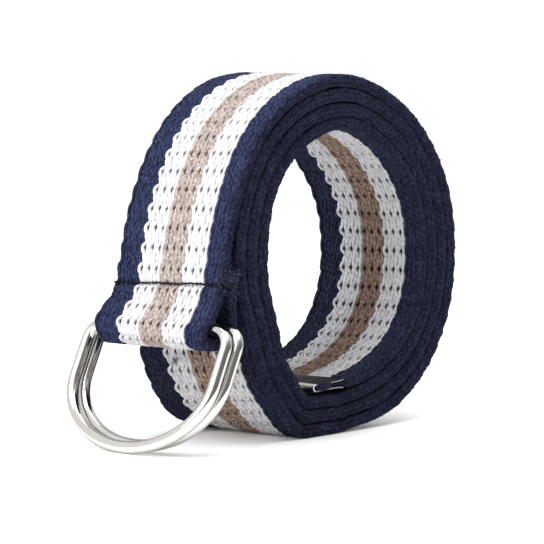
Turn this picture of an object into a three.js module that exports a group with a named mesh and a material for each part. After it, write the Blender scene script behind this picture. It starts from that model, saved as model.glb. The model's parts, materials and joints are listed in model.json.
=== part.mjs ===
// Canvas belt, rolled up and standing on its coil: one strip of thick striped cotton webbing,
// its outer end folded round the bars of two D-rings, its inner end in a crimped metal tip.
// Millimetres, +Z up, coil axis along Y, D-rings at -X, origin at the middle of the box's underside.
// Sections and routes are drawn in a plane whose x is the part's X and whose y is its Z.

import * as THREE from "three";

// Webbing
const WEBBING_WIDTH = 38;
const WEBBING_THICKNESS = 3.5;
const WEBBING_EDGE_ROUND = 1.2;
const EDGE_FLAT_SHARE = 0.25;
const TAIL_THICKNESS = 2.4;
const TAIL_PAST_SEAM = 2;

// Coil, whose centre stands this high over the surface that it rests on
const COIL_CENTRE_HEIGHT = 49.5;
const COIL_TURNS = 3.749;
const COIL_STEP_DEG = 5;
const SLOPE_STEP_DEG = 1;

// Folded end, sewn this far above the ring bars
const SEAM_RISE = 10.8;
const FOLD_STEPS = 7;

// D-rings of round wire, which lean outwards with their round ends on the floor
const WIRE_DIAMETER = 3.3;
const RING_WIDTH = 53.2;
const RING_REACH = 33;
const RING_LEG = 15;
const RING_CORNER = 5;
const RING_GAP = 1;
const RING_LEAN_DEG = 25.24;
const RING_STEPS = 88;
const WIRE_SIDES = 12;

// Sheet-metal tip
const TIP_LENGTH = 13;
const TIP_HEIGHT = 2.6;
const TIP_SHEET = 0.4;
const TIP_OVERHANG = 0.5;
const TIP_VOID = 2;
const TIP_TAPER = 3;
const TIP_FOLD_STEPS = 6;

// Clearances
const METAL_CLEARANCE = 0.3;
const CLOTH_CLEARANCE = 0.35;
const SEAM_CLEARANCE = 1.1;
const FOLD_CLEARANCE = 1.6;

// The outermost turn, sixteen rows from the left side over the top: reach of its outer face from the
// coil's centre as a share of COIL_CENTRE_HEIGHT, and pitch of the turns as a share of WEBBING_THICKNESS.
const OUTER_TURN = [
  { sweep: 0, reach: 1.048, pitch: 1.31 },
  { sweep: 22.5, reach: 1.029, pitch: 1.17 },
  { sweep: 45, reach: 1.028, pitch: 1.15 },
  { sweep: 67.5, reach: 1.022, pitch: 1.15 },
  { sweep: 90, reach: 1.005, pitch: 1.14 },
  { sweep: 112.5, reach: 0.977, pitch: 1.17 },
  { sweep: 135, reach: 0.966, pitch: 1.22 },
  { sweep: 157.5, reach: 0.974, pitch: 1.26 },
  { sweep: 180, reach: 0.976, pitch: 1.28 },
  { sweep: 202.5, reach: 0.99, pitch: 1.26 },
  { sweep: 225, reach: 0.988, pitch: 1.2 },
  { sweep: 247.5, reach: 0.974, pitch: 1.16 },
  { sweep: 270, reach: 0.987, pitch: 1.1 },
  { sweep: 292.5, reach: 1.083, pitch: 1.13 },
  { sweep: 315, reach: 1.067, pitch: 1.12 },
  { sweep: 337.5, reach: 0.982, pitch: 1.16 },
];

// Stretches where the far edge stands out further than the near one, by a share of WEBBING_THICKNESS
const LEANS = [
  { from: 30, full: 70, fading: 100, to: 140, lean: 0.22 },
  { from: 293, full: 310, fading: 330, to: 358, lean: 0.78 },
];

const cotton = new THREE.MeshStandardMaterial({ color: 0x252b4c, roughness: 0.95, metalness: 0 });
const nickel = new THREE.MeshStandardMaterial({ color: 0xc9c6c1, roughness: 0.18, metalness: 1 });

const { degToRad, radToDeg, lerp, smoothstep } = THREE.MathUtils;
const FULL_TURN = 360;

// How far the ring bars and the seam lie under the coil's centre
const BAR_HEIGHT = WIRE_DIAMETER / 2 + RING_REACH * Math.cos(degToRad(RING_LEAN_DEG));
const BAR_DROP = COIL_CENTRE_HEIGHT - BAR_HEIGHT;
const SEAM_DROP = BAR_DROP - SEAM_RISE;

// A column of OUTER_TURN as a smooth curve of the sweep. One row is added at each end, moved by a pitch,
// so that each turn runs on into the next.
function turnColumn(column, stepPerTurn) {
  const spacing = FULL_TURN / OUTER_TURN.length;
  const at = (row, turn) => {
    const value = OUTER_TURN[row][column] - turn * stepPerTurn(OUTER_TURN[row]);
    return new THREE.Vector2(OUTER_TURN[row].sweep + turn * FULL_TURN, value);
  };
  const rows = OUTER_TURN.map((_, row) => at(row, 0));
  const curve = new THREE.SplineCurve([at(OUTER_TURN.length - 1, -1), ...rows, at(0, 1), at(1, 1)]);
  return (sweep) => curve.getPoint((sweep + spacing) / (FULL_TURN + 2 * spacing)).y;
}

const pitchAsReach = (row) => (row.pitch * WEBBING_THICKNESS) / COIL_CENTRE_HEIGHT;
const reachShare = turnColumn("reach", pitchAsReach);
const pitchShare = turnColumn("pitch", () => 0);

// Outer face of the outermost turn at a sweep from the left side, flat where it stands on the floor
function outerFace(sweep) {
  const angle = degToRad(FULL_TURN / 2 - sweep);
  const point = new THREE.Vector2(Math.cos(angle), Math.sin(angle));
  point.multiplyScalar(reachShare(sweep) * COIL_CENTRE_HEIGHT);
  point.y = Math.max(point.y, -COIL_CENTRE_HEIGHT);
  return point;
}

// Direction of the strip at a sweep of the outermost turn
function slopeAt(sweep) {
  return outerFace(sweep + SLOPE_STEP_DEG).sub(outerFace(sweep - SLOPE_STEP_DEG)).normalize();
}

// Point of the coil at a sweep that may be several turns, a given depth under the strip's outer face
function coilPoint(sweep, depth) {
  const turn = Math.floor(sweep / FULL_TURN);
  const local = sweep - turn * FULL_TURN;
  const slope = slopeAt(local);
  const inward = new THREE.Vector2(slope.y, -slope.x);
  return outerFace(local).addScaledVector(inward, turn * pitchShare(local) * WEBBING_THICKNESS + depth);
}

// Sweep at which the left side of the second turn's outer face lies a given distance under the centre
function leftSweep(drop) {
  const radius = coilPoint(FULL_TURN, 0).length();
  return FULL_TURN - radToDeg(Math.asin(drop / radius));
}

// Where a line from a point touches a circle, as an angle; side is 1 or -1
function tangentAngle(centre, point, radius, side) {
  const away = point.clone().sub(centre);
  return away.angle() + side * Math.acos(radius / away.length());
}

// Points along an arc of the fold in even steps
function arcPoints(centre, radius, from, to) {
  return Array.from({ length: FOLD_STEPS + 1 }, (_, i) => {
    const angle = lerp(from, to, i / FOLD_STEPS);
    return new THREE.Vector2(Math.cos(angle), Math.sin(angle)).multiplyScalar(radius).add(centre);
  });
}

// The ring bars hang in the fold, clear of the second turn
function barCentres() {
  const beside = coilPoint(leftSweep(BAR_DROP), 0).x;
  const inset = CLOTH_CLEARANCE + FOLD_CLEARANCE + WEBBING_THICKNESS + METAL_CLEARANCE + WIRE_DIAMETER / 2;
  const back = new THREE.Vector2(beside - inset, -BAR_DROP);
  return { back, front: back.clone().setX(back.x - WIRE_DIAMETER - RING_GAP) };
}

// How far the far edge stands out past the middle of the strip at a sweep
function leanAt(sweep) {
  const local = sweep % FULL_TURN;
  const shares = LEANS.map(({ from, full, fading, to, lean }) =>
    lean * smoothstep(local, from, full) * (1 - smoothstep(local, fading, to)));
  return WEBBING_THICKNESS * shares.reduce((sum, share) => sum + share, 0);
}

// Stations of the folded end, from the sewn tail down and round both bars up to the seam
function foldStations(bars) {
  const tailInset = CLOTH_CLEARANCE + TAIL_THICKNESS / 2;
  const besideTurn = (drop) => new THREE.Vector2(coilPoint(leftSweep(drop), 0).x - tailInset, -drop);
  const tailSeam = besideTurn(SEAM_DROP);
  const outerInset = TAIL_THICKNESS / 2 + SEAM_CLEARANCE + WEBBING_THICKNESS / 2;
  const outerSeam = tailSeam.clone().setX(tailSeam.x - outerInset);

  const bend = WIRE_DIAMETER / 2 + METAL_CLEARANCE + WEBBING_THICKNESS / 2;
  const under = bars.back.clone().sub(bars.front).angle() - Math.PI / 2;
  const tailTouch = tangentAngle(bars.back, tailSeam, bend, -1);
  const outerTouch = tangentAngle(bars.front, outerSeam, bend, 1) - 2 * Math.PI;
  const backArc = arcPoints(bars.back, bend, tailTouch, under);
  const frontArc = arcPoints(bars.front, bend, under, outerTouch);
  const folded = [...backArc, ...frontArc];

  const thin = (point) => ({ point, thickness: TAIL_THICKNESS });
  const full = (point) => ({ point, thickness: WEBBING_THICKNESS });
  const halfway = (a, b) => full(a.clone().lerp(b, 0.5));
  return [
    thin(besideTurn(SEAM_DROP - TAIL_PAST_SEAM)),
    thin(tailSeam),
    halfway(tailSeam, folded[0]),
    ...folded.map(full),
    halfway(folded[folded.length - 1], outerSeam),
    full(outerSeam),
  ];
}

// Stations of the coil, and the place and direction where the strip enters the tip
function coilStations() {
  const last = COIL_TURNS * FULL_TURN;
  const steps = Math.round(last / COIL_STEP_DEG);
  const depth = WEBBING_THICKNESS / 2;
  const stations = Array.from({ length: steps + 1 }, (_, i) => {
    const sweep = (last * i) / steps;
    return {
      point: coilPoint(sweep, depth),
      slope: slopeAt(sweep % FULL_TURN),
      thickness: WEBBING_THICKNESS,
      lean: leanAt(sweep),
    };
  });
  const mouth = stations[steps].point;
  const tipSweep = radToDeg((TIP_TAPER + TIP_LENGTH) / mouth.length());
  const direction = coilPoint(last + tipSweep, depth).sub(mouth).normalize();
  return { stations, mouth, direction };
}

// Stations of the flattened end inside the tip
function innerEndStations(mouth, direction) {
  const thickness = TIP_HEIGHT - 2 * (TIP_SHEET + METAL_CLEARANCE);
  const inside = TIP_LENGTH - TIP_SHEET - TIP_VOID;
  return [TIP_TAPER, TIP_TAPER + inside].map((distance) => (
    { point: mouth.clone().addScaledVector(direction, distance), thickness }));
}

// A strip with rounded edges through stations of point, thickness, lean and slope, as one closed surface
function stripGeometry(stations, width) {
  const corners = [];
  for (const [edge, face] of [[1, -1], [1, 1], [-1, 1], [-1, -1]]) {
    const onFace = [edge * (width / 2 - WEBBING_EDGE_ROUND), face, 0];
    const onEdge = [edge * (width / 2), face, WEBBING_EDGE_ROUND];
    corners.push(...(edge === face ? [onEdge, onFace] : [onFace, onEdge]));
  }
  const positions = [];
  stations.forEach(({ point, thickness, lean = 0, slope: ownSlope }, i) => {
    const before = stations[Math.max(i - 1, 0)].point;
    const after = stations[Math.min(i + 1, stations.length - 1)].point;
    const slope = ownSlope ?? after.clone().sub(before).normalize();
    for (const [y, face, round] of corners) {
      const side = Math.max(thickness / 2 - round, (EDGE_FLAT_SHARE * thickness) / 2);
      const out = face * side + (lean * y) / (width / 2);
      positions.push(point.x - slope.y * out, y, point.y + slope.x * out);
    }
  });
  const sides = corners.length;
  const index = [];
  for (let i = 0; i + 1 < stations.length; i++) {
    for (let j = 0; j < sides; j++) {
      const a = i * sides + j;
      const b = i * sides + ((j + 1) % sides);
      index.push(a, b, b + sides, a, b + sides, a + sides);
    }
  }
  const end = (stations.length - 1) * sides;
  for (let j = 1; j + 1 < sides; j++) {
    index.push(0, j + 1, j, end, end + j, end + j + 1);
  }
  const geometry = new THREE.BufferGeometry();
  geometry.setAttribute("position", new THREE.Float32BufferAttribute(positions, 3));
  geometry.setIndex(index);
  geometry.computeVertexNormals();
  return geometry;
}

// Centre line of a D-ring hanging straight down from its bar, which lies on the Y axis
function ringRoute() {
  const half = (RING_WIDTH - WIRE_DIAMETER) / 2;
  const flat = half - RING_CORNER;
  const quarter = Math.PI / 2;
  const outline = new THREE.Shape();
  outline.moveTo(-flat, 0);
  outline.lineTo(flat, 0);
  outline.absarc(flat, -RING_CORNER, RING_CORNER, quarter, 0, true);
  outline.lineTo(half, -RING_LEG);
  outline.absellipse(0, -RING_LEG, half, RING_REACH - RING_LEG, 0, -2 * quarter, true);
  outline.lineTo(-half, -RING_CORNER);
  outline.absarc(-flat, -RING_CORNER, RING_CORNER, 2 * quarter, quarter, true);
  const points = outline.getSpacedPoints(RING_STEPS).slice(0, -1);
  return new THREE.CatmullRomCurve3(points.map((p) => new THREE.Vector3(0, p.x, p.y)), true);
}

function ringMesh(name, bar) {
  const geometry = new THREE.TubeGeometry(ringRoute(), RING_STEPS, WIRE_DIAMETER / 2, WIRE_SIDES, true);
  const mesh = new THREE.Mesh(geometry, nickel);
  mesh.name = name;
  mesh.position.set(bar.x, 0, bar.y);
  mesh.rotation.y = degToRad(RING_LEAN_DEG);
  return mesh;
}

// The tip is a sheet folded over: its mouth faces the coil and its fold is the belt's free end
function tipMesh(mouth, direction) {
  const outer = TIP_HEIGHT / 2;
  const inner = outer - TIP_SHEET;
  const quarter = Math.PI / 2;
  const profile = new THREE.Shape();
  profile.moveTo(0, -outer);
  profile.absarc(TIP_LENGTH - outer, 0, outer, -quarter, quarter, false);
  profile.lineTo(0, outer);
  profile.lineTo(0, inner);
  profile.absarc(TIP_LENGTH - outer, 0, inner, quarter, -quarter, true);
  profile.lineTo(0, -inner);
  const width = WEBBING_WIDTH + 2 * TIP_OVERHANG;
  const settings = { depth: width, bevelEnabled: false, curveSegments: TIP_FOLD_STEPS };
  const geometry = new THREE.ExtrudeGeometry(profile, settings);
  geometry.translate(0, 0, -width / 2);
  geometry.rotateX(quarter);
  const mesh = new THREE.Mesh(geometry, nickel);
  mesh.name = "metal_tip";
  const start = mouth.clone().addScaledVector(direction, TIP_TAPER);
  mesh.position.set(start.x, 0, start.y);
  mesh.rotation.y = -direction.angle();
  return mesh;
}

const bars = barCentres();
const { stations, mouth, direction } = coilStations();
const route = [...foldStations(bars), ...stations, ...innerEndStations(mouth, direction)];
const webbing = new THREE.Mesh(stripGeometry(route, WEBBING_WIDTH), cotton);
webbing.name = "webbing";

const belt = new THREE.Group();
belt.add(webbing, ringMesh("d_ring_front", bars.front), ringMesh("d_ring_back", bars.back));
belt.add(tipMesh(mouth, direction));

const box = new THREE.Box3().setFromObject(belt, true);
belt.position.set(-(box.min.x + box.max.x) / 2, 0, -box.min.z);

export default belt;
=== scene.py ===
"""Looks of the canvas belt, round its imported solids. Metres, +Z up, coil axis along Y, D-rings at -X."""

import json
import math

import bpy
import numpy as np
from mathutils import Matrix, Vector


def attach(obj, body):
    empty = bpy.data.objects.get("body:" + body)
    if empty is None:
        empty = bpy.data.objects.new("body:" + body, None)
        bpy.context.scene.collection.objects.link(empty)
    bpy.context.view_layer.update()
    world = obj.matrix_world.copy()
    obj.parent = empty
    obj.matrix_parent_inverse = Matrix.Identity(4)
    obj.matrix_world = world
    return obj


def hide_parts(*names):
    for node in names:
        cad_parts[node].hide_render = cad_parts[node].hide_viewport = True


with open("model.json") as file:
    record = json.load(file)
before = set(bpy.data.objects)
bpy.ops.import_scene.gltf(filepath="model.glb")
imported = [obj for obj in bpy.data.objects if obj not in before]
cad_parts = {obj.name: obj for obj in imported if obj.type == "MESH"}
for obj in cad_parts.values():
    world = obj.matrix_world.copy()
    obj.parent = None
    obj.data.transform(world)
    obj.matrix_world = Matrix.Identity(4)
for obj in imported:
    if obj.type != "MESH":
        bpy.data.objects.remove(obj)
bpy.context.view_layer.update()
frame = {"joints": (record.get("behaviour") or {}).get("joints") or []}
JOINT_AT = {joint["name"]: joint["pos_m"] for joint in frame["joints"]}
rng = np.random.default_rng(7)

MILLIMETRE = 0.001

# Nothing of the belt reaches lower, so that no face lies in the floor
LOWEST = 0.00002

# Webbing
WEBBING_WIDTH = 0.038
WEBBING_THICKNESS = 0.0035
TAIL_THICKNESS = 0.0024
TAIL_PAST_SEAM = 0.002

# Coil
COIL_CENTRE_HEIGHT = 0.0495
COIL_TURNS = 3.749
FULL_TURN = 360

# Folded end
SEAM_RISE = 0.0108
CLOTH_CLEARANCE = 0.00035
SEAM_CLEARANCE = 0.0011
FOLD_CLEARANCE = 0.0016
METAL_CLEARANCE = 0.0003

# D-rings
WIRE_DIAMETER = 0.0033
RING_WIDTH = 0.0532
RING_REACH = 0.033
RING_LEG = 0.015
RING_CORNER = 0.005
RING_GAP = 0.001
RING_LEAN = math.radians(25.24)

# Sheet-metal tip
TIP_LENGTH = 0.013
TIP_HEIGHT = 0.0026
TIP_SHEET = 0.0004
TIP_OVERHANG = 0.0005
TIP_VOID = 0.002
TIP_TAPER = 0.003

BAR_HEIGHT = WIRE_DIAMETER / 2 + RING_REACH * math.cos(RING_LEAN)
BAR_DROP = COIL_CENTRE_HEIGHT - BAR_HEIGHT
SEAM_DROP = BAR_DROP - SEAM_RISE

# The outermost turn from the left side over the top: sweep in degrees, reach of its outer face as a share
# of COIL_CENTRE_HEIGHT, and pitch of the turns as a share of WEBBING_THICKNESS
OUTER_TURN = [
    (0, 1.048, 1.31),
    (22.5, 1.029, 1.17),
    (45, 1.028, 1.15),
    (67.5, 1.022, 1.15),
    (90, 1.005, 1.14),
    (112.5, 0.977, 1.17),
    (135, 0.966, 1.22),
    (157.5, 0.974, 1.26),
    (180, 0.976, 1.28),
    (202.5, 0.99, 1.26),
    (225, 0.988, 1.2),
    (247.5, 0.974, 1.16),
    (270, 0.987, 1.1),
    (292.5, 1.083, 1.13),
    (315, 1.067, 1.12),
    (337.5, 0.982, 1.16),
]

# Stretches of a turn, in degrees, where the far edge stands out by a share of WEBBING_THICKNESS
LEANS = [(30, 70, 100, 140, 0.22), (293, 310, 330, 358, 0.78)]

# Outward swell of the outermost turn on the right, in millimetres, by sweep in degrees; each of the turns
# inside it swells by one share less
SWELL_SWEEPS = [95, 120, 150, 180, 210, 230, 250, 262, 271]
SWELLS = [0, 0.2, 0.6, 0.7, 0.7, 0.95, 0.95, 0.5, 0]
SWELL_SHARES = 3

# Where the outer face turns to copies of its cotton with painted shade and a smudge, and where it goes in
# under the next turn, in degrees of sweep
UNDERSIDE_SWEEP = 272
COVERED_SWEEP = 365

# Where the inner face goes out of sight behind the fold, and where it comes out in the coil's middle
FOLD_INSIDE_END = 3
INSIDE_START = (COIL_TURNS - 1) * FULL_TURN - 20

# Weave: strands lie side by side in cells of two, and swing apart and together once in each row
ROW = 0.0054
STRIPES = [("navy", 5), ("white", 6), ("tan", 6), ("white", 6), ("navy", 6)]
STRAND_COLOURS = [colour for colour, count in STRIPES for _ in range(count)]
STRANDS = len(STRAND_COLOURS)
STRAND_PITCH = 0.00131
FIRST_STRAND_EDGE = -0.01955
FACE_STEPS = 15
EDGE_STEPS = 7
EDGE_COLUMNS = 2
STRAND_SIDES = 6
STRAND_WIDTH = 0.0016
STRAND_HEIGHT = 0.00124
HOLE_SWING = 0.00026
HOLE_SHARPNESS = 1.6
HOLE_NARROWING = 0.0007
HOLE_DIP_SHARE = 0.3
INNER_HOLES = 1.3
NAVY_HOLES = 0.35
NAVY_JITTER = 0.5
HALF_ROW_SWING = 0.00006

# Between the holes each strand dips and narrows twice a row, at these angles of the row and over this one
GRAIN_DIP = 0.00026
GRAIN_DIP_AT = 1.8
GRAIN_DIP_STAGGER = 0.25
GRAIN_DIP_LENGTH = 0.42
GRAIN_WAIST = 0.0003

# Rows start at other places on the outer face, the edges and the inner face, in parts of a row
ROW_START = {1: 0.45, 0: 0.45, -1: -0.35}

# Random drift of a strand: rows sideways and outwards, and share of its width and height
ROW_JITTER = 0.14
SIDE_DRIFT = 0.00004
RISE_DRIFT = 0.00003
SIZE_DRIFT = 0.04

# Outermost columns: how far each lies to the far side and under its face
COLUMN_SHIFTS = {0: (0.0006, 0.00022), STRANDS - 1: (0.0002, 0.0001)}

# Edge strands: place, lag behind each other in a row, size as parts of the thickness, and drift
EDGE_INSET = 0.00045
EDGE_ROUNDING = 0.0005
EDGE_LAG = 0.6
EDGE_WIDTH_PART = 5.2
EDGE_LIFT_SHARE = 0.28
EDGE_HALF_DEPTH = 0.0007
EDGE_SIDE_DRIFT = 0.00006
EDGE_LIFT_DRIFT = 0.00008
EDGE_SIZE_DRIFT = 0.08

# Texture's start along each column, edge and layer, in millimetres, so that no two strands look alike
COLUMN_YARN = 10
EDGE_YARN = 500
LAYER_YARN = 90

# Sideways sway of the strands in each row, by column from the near edge to the far one
SWAY_COLUMNS = [0, 2, 12, 19, 23, 26, 28]
SWAY_WIDTHS = [0.00014, 0.00018, 0.00022, 0.0003, 0.00062, 0.00036, 0.0003]

# Share of the gaps between the turns that the near and the far edge fill with their outer strands, and the
# length and sweep in degrees over which they start to do so
EDGE_FILL = {-1: 1.12, 1: 1.4}
FILL_START = 0.01
FILL_SWEEP = 12

# Outward shift and twist of the sewn end, in millimetres, by length past the seam: the near edge lies closer
# to the coil than the far edge
END_LENGTHS = [-14, -11.5, -8, -4, -1, 0, 4, 9, 15, 25]
END_SHIFTS = [0, -0.7, -1.15, -0.9, -0.2, 0, 0.85, 0.85, 0.3, 0]
END_TWISTS = [0, 1.5, 0.9, 0.2, 0.1, 0.1, 0.1, 0, 0, 0]

# Sewn seam: the strands are drawn in along it, and it lies this far below its place and tilted
SEAM_PINCH = 0.0005
PINCH_WIDTH = 0.0008
SEAM_TILT = 0.0005
SEAM_SLIP = 0.0005
STITCH_LENGTH = 0.0029
THREAD_RADIUS = 0.00024
THREAD_STEP = 0.0003
THREAD_BULGE = 0.0003
THREAD_SINK = 0.35
SEAM_WAVE = 0.0001
SEAM_WAVE_LENGTH = 0.0021
THREAD_DRIFT = 0.00003
NEEDLE_DIP = 0.00025
NEEDLE_HOLE = 0.0004


# Route of the strip, drawn round the coil's centre in a plane whose axes are X and Z

def turn_column(column, drop):
    """A column of OUTER_TURN as a smooth function of the sweep, each turn running on into the next."""
    values = [row[column] for row in OUTER_TURN]
    drops = [drop(row) for row in OUTER_TURN]
    knots = np.array([values[-1] + drops[-1], *values, values[0] - drops[0], values[1] - drops[1]])

    def value(sweep):
        place = np.asarray(sweep) * len(OUTER_TURN) / FULL_TURN + 1
        first = np.floor(place).astype(int)
        part = place - first
        before, here, there, after = (knots[np.clip(first + k, 0, len(knots) - 1)] for k in (-1, 0, 1, 2))
        leave, arrive = (there - before) / 2, (after - here) / 2
        cubic = 2 * here - 2 * there + leave + arrive
        square = 3 * there - 3 * here - 2 * leave - arrive
        return ((cubic * part + square) * part + leave) * part + here

    return value


reach_share = turn_column(1, lambda row: row[2] * WEBBING_THICKNESS / COIL_CENTRE_HEIGHT)
pitch_share = turn_column(2, lambda row: 0)


def unit(vectors):
    return vectors / np.linalg.norm(vectors, axis=-1, keepdims=True)


def run_along(points):
    """Length from the first point of a line to each of its points."""
    return np.concatenate([[0], np.cumsum(np.linalg.norm(np.diff(points, axis=0), axis=1))])


def eased(value, start, end):
    """From nought at the start to one at the end, leaving and arriving slowly."""
    part = np.clip((value - start) / (end - start), 0, 1)
    return part * part * (3 - 2 * part)


def outer_face(sweep):
    angle = np.radians(FULL_TURN / 2 - sweep)
    reach = reach_share(sweep) * COIL_CENTRE_HEIGHT
    return np.stack([reach * np.cos(angle), np.maximum(reach * np.sin(angle), -COIL_CENTRE_HEIGHT)], -1)


def coil_point(sweep, depth):
    """Point of the coil at a sweep that may be several turns, a depth under the strip's outer face."""
    sweep = np.asarray(sweep, float)
    turn = np.floor(sweep / FULL_TURN)
    local = sweep - turn * FULL_TURN
    slope = unit(outer_face(local + 1) - outer_face(local - 1))
    inward = np.stack([slope[..., 1], -slope[..., 0]], -1)
    under = turn * pitch_share(local) * WEBBING_THICKNESS + depth
    return outer_face(local) + inward * under[..., None]


def beside_second_turn(drop):
    """X of the second turn's outer face on the left, a distance under the coil's centre."""
    radius = np.linalg.norm(coil_point(FULL_TURN, 0))
    return coil_point(FULL_TURN - math.degrees(math.asin(drop / radius)), 0)[0]


def lean_at(sweep):
    """How far the far edge stands out, and the near one in, at a sweep of any turn."""
    local = np.asarray(sweep, float) % FULL_TURN
    shares = [share * eased(local, a, b) * (1 - eased(local, c, d)) for a, b, c, d, share in LEANS]
    return WEBBING_THICKNESS * sum(shares)


def swell_at(sweep):
    """How far the outermost turn stands out past its solid at a sweep of any turn."""
    return np.interp(np.asarray(sweep) % FULL_TURN, SWELL_SWEEPS, SWELLS) * MILLIMETRE


def tangent_angle(centre, point, radius, side):
    """Angle at which a line from a point touches a circle, on one side of it."""
    away = point - centre
    return math.atan2(away[1], away[0]) + side * math.acos(radius / np.linalg.norm(away))


def arc(centre, radius, start, end, steps=30):
    angle = np.linspace(start, end, steps)
    return centre + radius * np.stack([np.cos(angle), np.sin(angle)], -1)


def fold_points(bars):
    """Middle of the strip from the sewn tail round both ring bars up to the seam, with its thickness."""
    tail_inset = CLOTH_CLEARANCE + TAIL_THICKNESS / 2
    tail_drops = (SEAM_DROP - TAIL_PAST_SEAM, SEAM_DROP)
    tail_end, tail_seam = (np.array([beside_second_turn(drop) - tail_inset, -drop]) for drop in tail_drops)
    outer_seam = tail_seam - [TAIL_THICKNESS / 2 + SEAM_CLEARANCE + WEBBING_THICKNESS / 2, 0]
    bend = WIRE_DIAMETER / 2 + METAL_CLEARANCE + WEBBING_THICKNESS / 2
    under = -math.pi / 2
    tail_touch = tangent_angle(bars["back"], tail_seam, bend, -1)
    outer_touch = tangent_angle(bars["front"], outer_seam, bend, 1) - 2 * math.pi
    folded = np.concatenate([
        arc(bars["back"], bend, tail_touch % (2 * math.pi) - 2 * math.pi, under),
        arc(bars["front"], bend, under, outer_touch),
    ])
    points = np.concatenate([[tail_end, tail_seam], folded, [outer_seam]])
    thickness = np.full(len(points), WEBBING_THICKNESS)
    thickness[:2] = TAIL_THICKNESS
    return points, thickness


def smoothed(values, sigma):
    """Values run through a bell-shaped filter, with both ends kept in place."""
    reach = int(4 * sigma)
    bell = np.exp(-0.5 * (np.arange(-reach, reach + 1) / sigma) ** 2)
    before = 2 * values[0] - values[reach:0:-1]
    after = 2 * values[-1] - values[-2:-reach - 2:-1]
    return np.convolve(np.concatenate([before, values, after]), bell / bell.sum(), "valid")


class Strip:
    """The whole strip at even steps of its length: middle, tangent, outward direction, thickness and lean."""

    STEP = 0.0001

    # Softening of the route, the sewn end's shift and the swell, in steps
    SOFTENING = 9
    END_SOFTENING = 12
    SWELL_SOFTENING = 30

    def __init__(self):
        inset = CLOTH_CLEARANCE + FOLD_CLEARANCE + WEBBING_THICKNESS + METAL_CLEARANCE + WIRE_DIAMETER / 2
        back = np.array([beside_second_turn(BAR_DROP) - inset, -BAR_DROP])
        bars = {"back": back, "front": back - [WIRE_DIAMETER + RING_GAP, 0]}
        centre_x = JOINT_AT["ring_back_swing"][0] - back[0]
        fold, fold_thickness = fold_points(bars)
        last = COIL_TURNS * FULL_TURN
        sweeps = np.linspace(0, last, int(last) + 1)
        coil = coil_point(sweeps, WEBBING_THICKNESS / 2)
        mouth = coil[-1]
        tip_sweep = math.degrees((TIP_TAPER + TIP_LENGTH) / np.linalg.norm(mouth))
        direction = unit(coil_point(last + tip_sweep, WEBBING_THICKNESS / 2) - mouth)
        inside = TIP_LENGTH - TIP_SHEET - TIP_VOID
        end = [mouth + direction * TIP_TAPER, mouth + direction * (TIP_TAPER + inside)]
        thin = TIP_HEIGHT - 2 * (TIP_SHEET + METAL_CLEARANCE)

        points = np.concatenate([fold, coil, end])
        thickness = np.concatenate([fold_thickness, np.full(len(coil), WEBBING_THICKNESS), [thin, thin]])
        lean = np.concatenate([np.zeros(len(fold)), lean_at(sweeps), [0, 0]])
        along = run_along(points)
        self.length = along[-1]
        self.s = np.linspace(0, self.length, int(self.length / self.STEP))
        spread = lambda values: smoothed(np.interp(self.s, along, values), self.SOFTENING)
        x, z = spread(points[:, 0]) + centre_x, spread(points[:, 1]) + COIL_CENTRE_HEIGHT
        self.middle = np.stack([x, z], -1)
        self.thickness = spread(thickness)
        self.lean = spread(lean)
        self.tangent = unit(np.gradient(self.middle, axis=0))
        self.outward = np.stack([-self.tangent[:, 1], self.tangent[:, 0]], -1)

        self.seam = along[len(fold) - 1]
        past_seam = (self.s - self.seam) / MILLIMETRE
        by_length = lambda values: np.interp(past_seam, END_LENGTHS, values) * MILLIMETRE
        at_end = lambda values: smoothed(by_length(values), self.END_SOFTENING)
        self.middle = self.middle + self.outward * at_end(END_SHIFTS)[:, None]
        self.lean = self.lean + at_end(END_TWISTS)
        self.tip_mouth = along[-2]
        self.coil_along = along[len(fold):len(fold) + len(coil)]
        here = np.interp(self.s, self.coil_along, sweeps)
        share = np.maximum(1 - np.floor(here / FULL_TURN) / SWELL_SHARES, 0)
        swell = smoothed(swell_at(here) * share, self.SWELL_SOFTENING)
        self.middle = self.middle + self.outward * swell[:, None]
        self.tip_at = mouth + direction * TIP_TAPER + [centre_x, COIL_CENTRE_HEIGHT]
        self.tip_direction = direction

    def slack(self, s, side):
        """Half of the gap between a turn and its neighbour outside or inside it, nought where it has none."""
        sweep = np.interp(s, self.coil_along, np.arange(len(self.coil_along)))
        gap = (pitch_share(sweep % FULL_TURN) - 1) * WEBBING_THICKNESS + swell_at(sweep) / SWELL_SHARES
        last = COIL_TURNS * FULL_TURN
        place = sweep - FULL_TURN if side > 0 else last - FULL_TURN - sweep
        in_coil = np.clip((s - self.coil_along[0]) / FILL_START, 0, 1) if side < 0 else 1.0
        return np.maximum(gap / 2, 0) * np.clip(place / FILL_SWEEP, 0, 1) * in_coil

    def at_sweep(self, sweep):
        """Length along the strip at a sweep of the coil."""
        start = self.coil_along[0]
        return start + np.interp(sweep, np.arange(len(self.coil_along)), self.coil_along - start)

    def stations(self, face, start, end, step):
        """Stations between two lengths, at even steps measured on a face: 1 outer, -1 inner, 0 middle."""
        line = self.middle + self.outward * (face * self.thickness / 2)[:, None]
        run = run_along(line)
        low, high = np.interp([start, end], self.s, run)
        laid = np.arange(math.ceil(low / step), math.floor(high / step) + 1) * step
        s = np.interp(laid, run, self.s)
        take = lambda values: np.stack([np.interp(s, self.s, column) for column in values.T], -1)
        return {
            "laid": laid,
            "s": s,
            "middle": take(self.middle),
            "tangent": unit(take(self.tangent)),
            "outward": unit(take(self.outward)),
            "thickness": np.interp(s, self.s, self.thickness),
            "lean": np.interp(s, self.s, self.lean),
        }


strip = Strip()
UNDERSIDE = strip.at_sweep(UNDERSIDE_SWEEP)
COVERED = strip.at_sweep(COVERED_SWEEP)


# Meshes

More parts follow.
